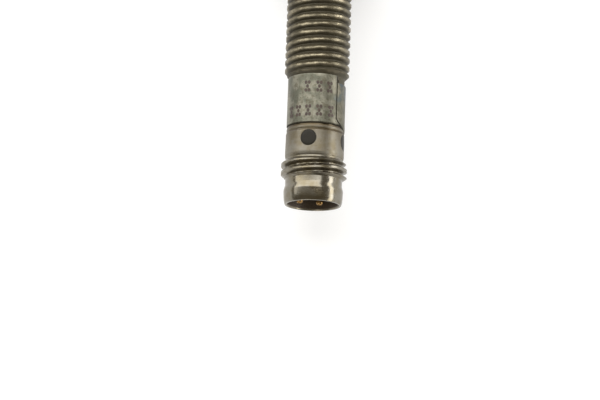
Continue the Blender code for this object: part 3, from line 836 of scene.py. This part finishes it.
def make_seam_glue_and_shade(finish):
    """A dark line in the seam, partly old glue and partly painted shade where the gap and the film's
    torn, lifted corner lie in shadow; it is wider where the film's corner is torn.
    """
    low, high = TAB_STATION, LABEL_HIGH.y - RIM_Y - 0.05
    margin, patch = 1.2, 4  # degrees that it reaches past the seam's edges, and more at the tear
    thickness = 0.015
    loops = []
    for station in np.linspace(low, high, 80):
        middle = seam_turn(station)
        half = seam_gap(station) / 2 + margin
        torn = ramp(station, high - 1.0, high - 0.8) * ramp(station, high - 0.3, high - 0.5)
        beyond = half + patch * torn
        top = SEAT_RADIUS + 0.022 + SHELL_STEP * over_shell(station)
        loops.append(
            [
                on_label(middle - beyond, station, top - thickness),
                on_label(middle - beyond, station, top),
                on_label(middle, station, top),
                on_label(middle + half, station, top),
                on_label(middle + half, station, top - thickness),
                on_label(middle, station, top - thickness),
            ]
        )
    skin = Skin()
    skin.grid(loops)
    for end in (loops[0], loops[-1]):
        skin.grid([[end[0], end[5], end[4]], [end[1], end[2], end[3]]], closed=False)
    return skin.piece("label_seam_glue_and_shade", finish, "sensor", [])


def make_print(finish):
    """Two rows of printed marks, each five worn dots set like the five on a die."""
    radius = LABEL_HIGH.z
    dot_radius, stretch, across, along = 0.19, 1.25, 0.2, 0.48
    proud, thickness = 0.008, 0.02
    rows = ((13.95, (18.3, -5.5, -27.1)), (10.98, (56.9, 36.9, 15.6, -6.3, -31.1)))
    bm = bmesh.new()
    for station, turns in rows:
        for turn in turns:
            dots = [(-across, along), (across, along), (0, 0), (-across, -along), (across, -along)]
            for side, up in dots:
                outline = []
                for corner in np.linspace(0, 2 * np.pi, 11)[:-1]:
                    place = side + math.cos(corner) * dot_radius
                    bearing = turn - math.degrees(place / radius)
                    height = station + up + math.sin(corner) * dot_radius * stretch
                    outline.append(on_label(bearing, height, radius + proud))
                face = bm.faces.new([bm.verts.new(Vector(point) * MM) for point in outline])
                outward = Vector(on_label(turn, 0, 1)) - Vector(on_label(turn, 0, 0))
                sunk = bmesh.ops.extrude_face_region(bm, geom=[face])
                moved = [v for v in sunk["geom"] if isinstance(v, bmesh.types.BMVert)]
                bmesh.ops.translate(bm, vec=-outward * thickness * MM, verts=moved)
    bmesh.ops.recalc_face_normals(bm, faces=bm.faces)
    return as_piece("label_marks", bm, finish, "sensor", [])


# ---------------------------------------------------------------- connector insert


def make_carrier(finish):
    """Moulded contact carrier with a raised edge."""
    low, high = CARRIER_LOW.y, CARRIER_HIGH.y
    outer = 2.95
    skin = Skin()
    skin.turned(
        [
            (CARRIER_FACE_Y, 0.0),
            (CARRIER_FACE_Y, 2.3),
            (low, 2.38),
            (low, outer - 0.14),
            (low + 0.05, outer - 0.04),
            (low + 0.12, outer),
            (high, outer),
            (high, 0.0),
        ],
        72,
    )
    return skin.piece("carrier_insert", finish, "sensor", ["contact_carrier"])


def make_pins(finish, collar_finish):
    """Gold-plated contacts with rounded tips, each in a collar of the carrier."""
    for number in (1, 3, 4):
        node = f"contact_pin_{number}"
        low, high = box_mm(node)
        centre = (low + high) / 2
        radius = (high.x - low.x) / 2
        tip = rounded(
            [
                (low.y + 0.2, 0.0, 0),
                (low.y + 0.16, radius * 0.4, 0.06),
                (low.y, radius * 0.62, 0.08),
                (low.y + 0.3, radius, 0.2),
                (low.y + 1.0, radius, 0),
            ]
        )
        skin = Skin()
        skin.turned(tip + [(high.y, radius), (high.y, 0.0)], 40)
        pin = skin.piece(f"{node}_gold", finish, "sensor", [node])
        collar = Skin()
        collar.turned(
            rounded(
                [
                    (CARRIER_FACE_Y, radius + 0.02, 0),
                    (CARRIER_FACE_Y - 0.22, radius + 0.03, 0.03),
                    (CARRIER_FACE_Y - 0.22, radius + 0.2, 0.06),
                    (CARRIER_FACE_Y + 0.05, radius + 0.26, 0),
                    (CARRIER_FACE_Y + 0.05, radius + 0.02, 0),
                    (CARRIER_FACE_Y, radius + 0.02, 0),
                ]
            ),
            32,
        )
        cup = collar.piece(f"{node}_collar", collar_finish, "sensor", [])
        for made in (pin, cup):
            made.data.transform(Matrix.Translation((centre.x * MM, 0, centre.z * MM)))


# ---------------------------------------------------------------- sensing end


def make_cap(finish):
    """The sensing face: a plain disc with an eased edge and a shallow moulded ring."""
    low, high = box_mm("sensing_cap")
    outer, wall, front = high.x, 0.32, 0.5
    skin = Skin()
    skin.turned(
        rounded(
            [
                (high.y - 0.03, 0.0, 0),
                (high.y - 0.03, 0.25, 0.05),
                (high.y, 0.34, 0.05),
                (high.y, 2.5, 0.04),
                (high.y - 0.04, 2.56, 0.03),
                (high.y, 2.62, 0.04),
                (high.y, outer - 0.1, 0.06),
                (high.y - 0.12, outer, 0.06),
                (low.y, outer, 0),
                (low.y, outer - wall, 0),
                (high.y - front, outer - wall, 0),
                (high.y - front, 0.0, 0),
            ]
        ),
        96,
    )
    return skin.piece("sensing_cap_face", finish, "sensor", ["sensing_cap"])


# ---------------------------------------------------------------- nuts and washers


def soft_min(a, b, ease):
    """The smaller of two lengths, with the corner between them rounded."""
    h = max(ease - abs(a - b), 0.0) / ease
    return min(a, b) - h * h * ease / 4


def make_nut(node, body, finish):
    """Hexagon nut with a turned crown on both sides and an M8 x 1 thread."""
    low, high = box_mm(node)
    rear, front = low.y, high.y
    flat = high.z
    past_corner = flat / math.cos(math.radians(30)) + 0.1
    columns = 240
    crown = [
        (rear, flat - 0.25),
        (rear + 0.72, past_corner),
        (front - 0.72, past_corner),
        (front, flat - 0.25),
    ]
    heights = np.concatenate(
        [
            np.linspace(rear, rear + 0.75, 12),
            np.linspace(rear + 0.9, front - 0.9, 5),
            np.linspace(front - 0.75, front, 12),
        ]
    )
    angles = 2 * np.pi * np.arange(columns) / columns
    rows = []
    for y in heights:
        radius = []
        for angle in angles:
            sides = [math.cos(angle - math.radians(90 + 60 * side)) for side in range(6)]
            second, nearest = sorted(sides)[-2:]
            hexagon = soft_min(flat / nearest, flat / max(second, 0.1), 0.22)
            radius.append(soft_min(hexagon, through(crown, y), 0.12))
        rows.append(ring(columns, 0.0, y, np.array(radius)))
    skin = Skin()
    skin.grid(rows)
    mouth, bore, countersunk = 4.35, 3.4, 0.9
    for y, row in ((rear, rows[0]), (front, rows[-1])):
        skin.grid([row, ring(columns, 0.0, y, flat - 0.6), ring(columns, 0.0, y, mouth)])
    countersink = [
        (rear, mouth),
        (rear + countersunk, bore),
        (front - countersunk, bore),
        (front, mouth),
    ]
    skin.helix(
        rear,
        front,
        BARREL_CREST_Y,
        thread_profile(CREST_RADIUS + 0.09, ROOT_RADIUS + 0.09, 12),
        lambda y: through(countersink, y),
        columns,
        inward=True,
    )
    return skin.piece(f"{node}_hex", finish, body, [node], 28)


def make_washer(node, body, finish):
    """Toothed lock washer: a flat ring whose outer teeth are each twisted a little."""
    low, high = box_mm(node)
    middle = (low.y + high.y) / 2
    half = (high.y - low.y) / 2
    teeth = 12
    per_tooth = 16
    columns = teeth * per_tooth
    thick = 0.26
    inner, root, tip = 4.2, 5.3, high.z
    skin = Skin()

    def surface(radius_share, side):
        """One closed loop at a share of the way from the bore to the outer edge, front or back."""
        loop = []
        for index in range(columns):
            angle = 2 * math.pi * index / columns
            place = (index % per_tooth) / per_tooth - 0.5
            tooth = 1 - ramp(abs(place), 0.2, 0.31)
            edge = root + (tip - root) * tooth
            radius = inner + (edge - inner) * radius_share
            out = ramp(radius, root - 0.2, tip)
            lean = (half - thick) * 2 * out * max(-1.0, min(1.0, place / 0.25))
            lean = max(-(half - thick), min(half - thick, lean))
            loop.append(
                (math.cos(angle) * radius, middle + side * thick + lean, math.sin(angle) * radius)
            )
        return loop

    shares = [0.0, 0.04, 0.3, 0.5, 0.65, 0.8, 0.9, 0.97, 1.0]
    front = [surface(share, 1) for share in shares]
    back = [surface(share, -1) for share in reversed(shares)]
    skin.grid(front + back + [front[0]])
    return skin.piece(f"{node}_teeth", finish, body, [node], 40)


# ---------------------------------------------------------------- carried-over CAD nodes


def finish_cad_nodes(finishes):
    """Every CAD node that still shows gets the procedural finish of its slot."""
    slots = {part["node"]: part["material_slot"] for part in frame["record"]["subparts"]}
    for name, node in frame["nodes"].items():
        node.data.materials.clear()
        node.data.materials.append(finishes[slots[name]])


# ---------------------------------------------------------------- studio


def make_floor():
    """A pale table top, lit a little from below like a light table, so that shadows stay faint."""
    made = Shader("studio_floor", (0.45, 0.45, 0.45), 0.9)
    made.shader.inputs["Emission Color"].default_value = (1, 1, 1, 1)
    made.shader.inputs["Emission Strength"].default_value = 0.61
    size = 1.6
    mesh = bpy.data.meshes.new("studio_floor")
    corners = [(-size, -size, 0), (size, -size, 0), (size, size, 0), (-size, size, 0)]
    mesh.from_pydata(corners, [], [(0, 1, 2, 3)])
    mesh.materials.append(made.material)
    floor = bpy.data.objects.new("studio_floor", mesh)
    floor.location.z = FLOOR_Z * MM
    bpy.context.scene.collection.objects.link(floor)


def make_panel(name, place, facing, size, radiance):
    """A soft rectangular light. size is its extent across and along the sensor, in metres."""
    light = bpy.data.lights.new(name, "AREA")
    light.shape = "RECTANGLE"
    light.size, light.size_y = size
    light.energy = math.pi * size[0] * size[1] * radiance
    made = bpy.data.objects.new(name, light)
    made.location = place
    normal = Vector(facing).normalized()
    along = Vector((0, 1, 0))
    across = along.cross(-normal).normalized()
    along = (-normal).cross(across)
    made.rotation_euler = Matrix((across, along, -normal)).transposed().to_euler()
    bpy.context.scene.collection.objects.link(made)


def make_studio():
    """A bright panel low on the right, a wide soft one overhead and behind the connector, and one in
    front of it, in a dim, warm room."""
    world = bpy.data.worlds.new("studio")
    world.use_nodes = True
    background = world.node_tree.nodes["Background"]
    background.inputs["Color"].default_value = (1.0, 0.9, 0.7, 1)
    background.inputs["Strength"].default_value = 0.27
    bpy.context.scene.world = world
    rim = RIM_Y * MM
    make_panel("right_panel", (0.5, rim + 0.1, 0.135), (-1, 0, 0), (0.17, 1.0), 5.2)
    make_panel("overhead_panel", (-0.33, rim + 0.5, 0.35), (0.3, 0, -1.24), (1.27, 0.8), 3.2)
    make_panel("front_panel", (-0.25, rim - 0.6, 0.2), (0.25, 0.6, -0.1), (0.7, 0.35), 2.1)


def make_camera():
    """The camera stands nearly above the connector, which points at the bottom of the picture."""
    elevation, azimuth = math.radians(78), math.radians(-1.91)
    distance = 0.27
    forward = Vector(
        (
            math.sin(azimuth) * math.cos(elevation),
            math.cos(azimuth) * math.cos(elevation),
            -math.sin(elevation),
        )
    )
    right = Vector((math.cos(azimuth), -math.sin(azimuth), 0))
    up = right.cross(forward)
    rim = Vector((0, RIM_Y * MM, 0))
    aim = rim - right * 1.54 * MM + up * 0.65 * MM
    camera = bpy.data.cameras.new("camera")
    camera.sensor_width = 36
    camera.lens = 134.46
    camera.clip_start = 0.01
    made = bpy.data.objects.new("camera", camera)
    made.location = aim - forward * distance
    made.rotation_euler = Matrix((right, up, -forward)).transposed().to_euler()
    bpy.context.scene.collection.objects.link(made)
    bpy.context.scene.camera = made


# ---------------------------------------------------------------- assembly


def main():
    bpy.context.scene.view_settings.view_transform = "Standard"
    finishes = make_materials()
    finish_cad_nodes(finishes)
    make_barrel(finishes["barrel_steel"])
    make_shell(finishes["nickel"])
    make_windows(finishes["window"])
    make_label(finishes["label"])
    # dark seam strip: old glue and painted shade
    make_seam_glue_and_shade(finishes["seam_glue_and_shade"])
    make_print(finishes["print"])
    make_carrier(finishes["black_plastic"])
    make_pins(finishes["gold"], finishes["black_plastic"])
    make_cap(finishes["cap_plastic"])
    for side in ("front", "rear"):
        make_nut(f"{side}_nut", f"{side}_fixing_nut", finishes["nut_nickel"])
        make_washer(f"{side}_washer", f"{side}_lock_washer", finishes["nut_nickel"])
    make_floor()
    make_studio()
    make_camera()


main()
